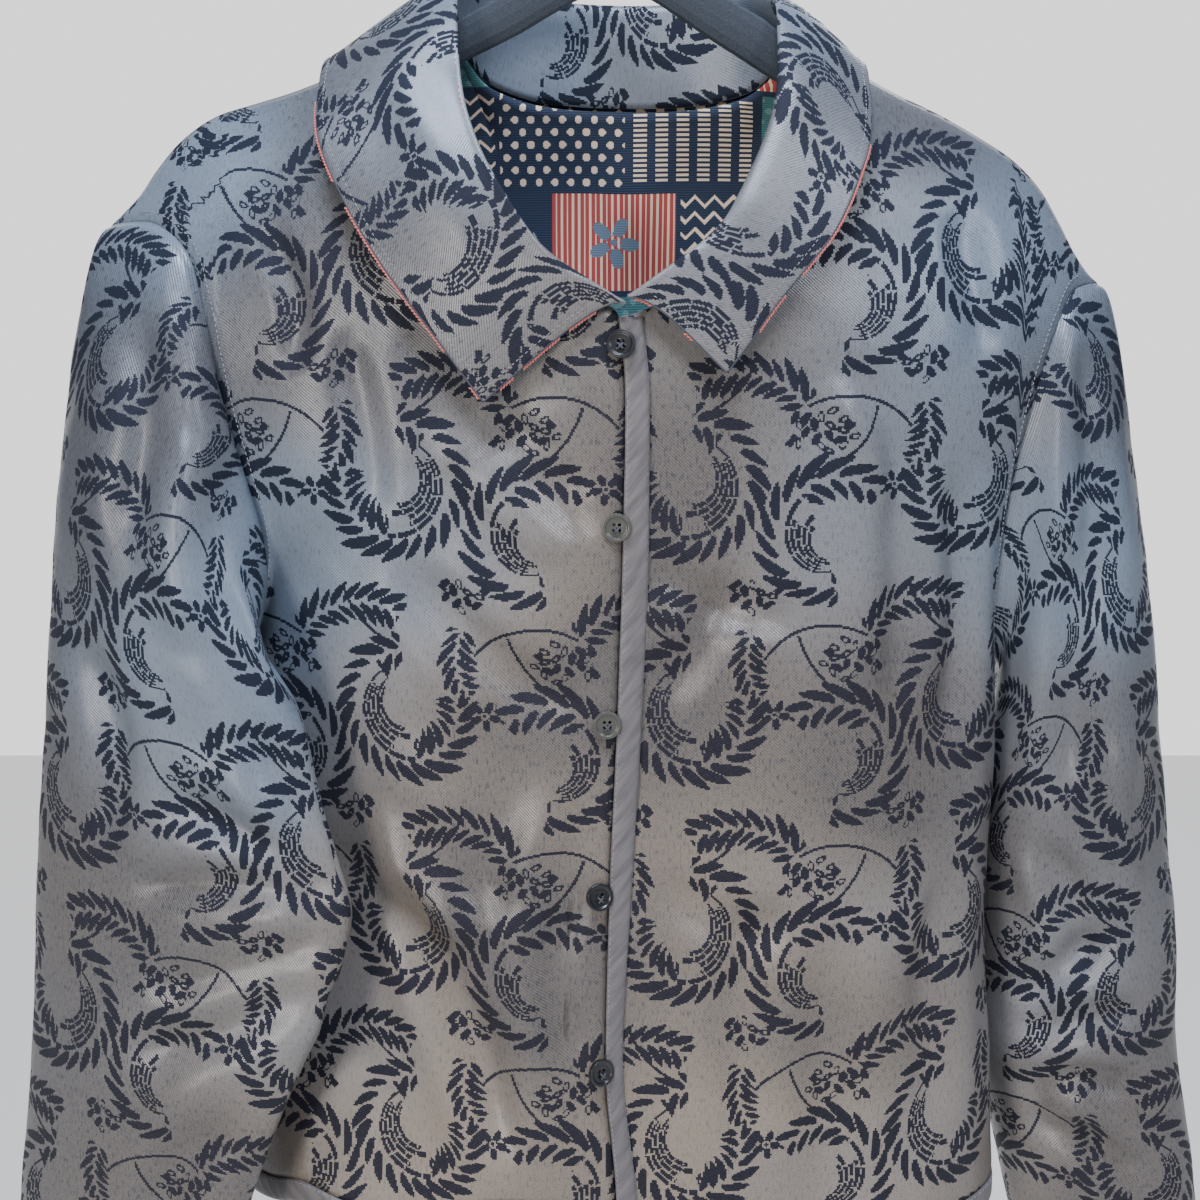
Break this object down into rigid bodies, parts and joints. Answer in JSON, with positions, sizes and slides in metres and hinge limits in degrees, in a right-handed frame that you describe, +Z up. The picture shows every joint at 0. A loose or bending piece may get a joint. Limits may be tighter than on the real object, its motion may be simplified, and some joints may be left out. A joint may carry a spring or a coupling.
{
  "type": "reversible jacquard jacket on a hanger",
  "caption": "Buttoned long-sleeved jacket in scroll-patterned cloth with a patchwork inside, a turned-down collar and bound edges, hanging on a slim hanger.",
  "frame": {"origin": "inside top of the hanger's hook, where it rests on a rail", "axes": "+X towards the viewer's right, the front faces -Y, +Z up"},
  "size_m": [0.7122, 0.1741, 0.8436],
  "materials": {
    "shell_cloth": "taupe-grey satin jacquard with navy leaf scrolls; patchwork weave inside",
    "sleeve_cloth": "blue-grey satin jacquard with navy leaf scrolls; patchwork weave inside",
    "collar_cloth": "blue-grey satin jacquard, topstitched edges",
    "binding": "plain grey satin bias binding",
    "button": "olive grey, semi-gloss",
    "velvet_bar": "velvet flock on a slim moulded bar",
    "steel_wire": "polished wire"
  },
  "bodies": {
    "root": {"front_right": "shell_cloth", "front_left": "shell_cloth", "back": "shell_cloth", "sleeve_right": "sleeve_cloth", "sleeve_left": "sleeve_cloth", "collar": "collar_cloth", "front_binding": "binding", "hem_binding_front_right": "binding", "hem_binding_front_left": "binding", "hem_binding_back": "binding", "button_1": "button", "button_2": "button", "button_3": "button", "button_4": "button", "button_5": "button", "hanger": "velvet_bar", "hanger_hook": "steel_wire"}
  },
  "joints": []
}
